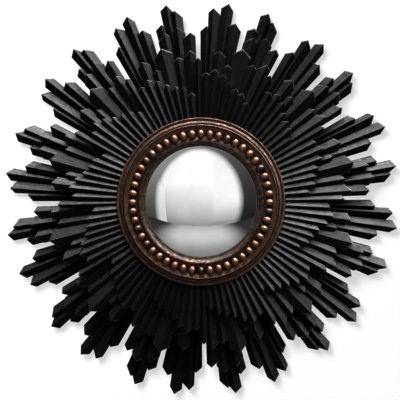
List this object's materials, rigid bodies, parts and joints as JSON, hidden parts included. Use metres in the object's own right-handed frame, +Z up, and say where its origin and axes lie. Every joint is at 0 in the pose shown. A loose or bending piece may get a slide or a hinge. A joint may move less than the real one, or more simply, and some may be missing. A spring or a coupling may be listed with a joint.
{
  "type": "convex mirror",
  "caption": "Round convex wall mirror in a beaded copper ring, set in a sunburst of layered black ridged rays, with a swinging wire hanger on the back.",
  "frame": {"origin": "point on the wall plane on the mirror's axis", "axes": "+Z up, +Y into the wall, so the glass faces -Y"},
  "size_m": [0.6932, 0.0724, 0.6932],
  "materials": {
    "ebonised_wood": "matte black paint over wood",
    "copper_leaf": "antique copper leaf, waxed dark and rubbed",
    "copper_beads": "antique copper leaf, rubbed bright",
    "silvered_glass": "polished",
    "stained_board": "black stain",
    "plywood": "raw",
    "hardboard": "smooth, raw",
    "felt": "felted",
    "foam": "closed cell",
    "zinc_steel": "zinc plated",
    "rubber_pads": "matte"
  },
  "bodies": {
    "mirror": {"backing_board": "stained_board", "beads": "copper_beads", "core_ring": "stained_board", "cover_screws": "zinc_steel", "frame_moulding": "copper_leaf", "frame_screws": "zinc_steel", "front_ray_1": "ebonised_wood", "front_ray_2": "ebonised_wood", "front_ray_3": "ebonised_wood", "front_ray_4": "ebonised_wood", "front_ray_5": "ebonised_wood", "front_ray_6": "ebonised_wood", "front_ray_7": "ebonised_wood", "front_ray_8": "ebonised_wood", "front_tier_ring": "plywood", "glass_cushion": "foam", "glass_gasket": "felt", "hanger_screws": "zinc_steel", "hanger_strap": "zinc_steel", "long_ray_1": "ebonised_wood", "long_ray_2": "ebonised_wood", "long_ray_3": "ebonised_wood", "long_ray_4": "ebonised_wood", "long_ray_5": "ebonised_wood", "long_ray_6": "ebonised_wood", "long_ray_7": "ebonised_wood", "mirror_glass": "silvered_glass", "rear_cover": "hardboard", "second_ray_1": "ebonised_wood", "second_ray_2": "ebonised_wood", "second_ray_3": "ebonised_wood", "second_ray_4": "ebonised_wood", "second_ray_5": "ebonised_wood", "second_tier_ring": "plywood", "sight_ring": "copper_leaf", "third_ray_1": "ebonised_wood", "third_ray_2": "ebonised_wood", "third_ray_3": "ebonised_wood", "third_tier_ring": "plywood", "wall_bumpers": "rubber_pads"},
    "hanger_ring": {"hanger_ring": "zinc_steel"}
  },
  "joints": [
    {"name": "hanger_swing", "type": "hinge", "parent": "mirror", "child": "hanger_ring", "pos_m": [0, -0.00305, 0.1619], "axis": [-1, 0, 0], "range_deg": [0, 170]}
  ]
}
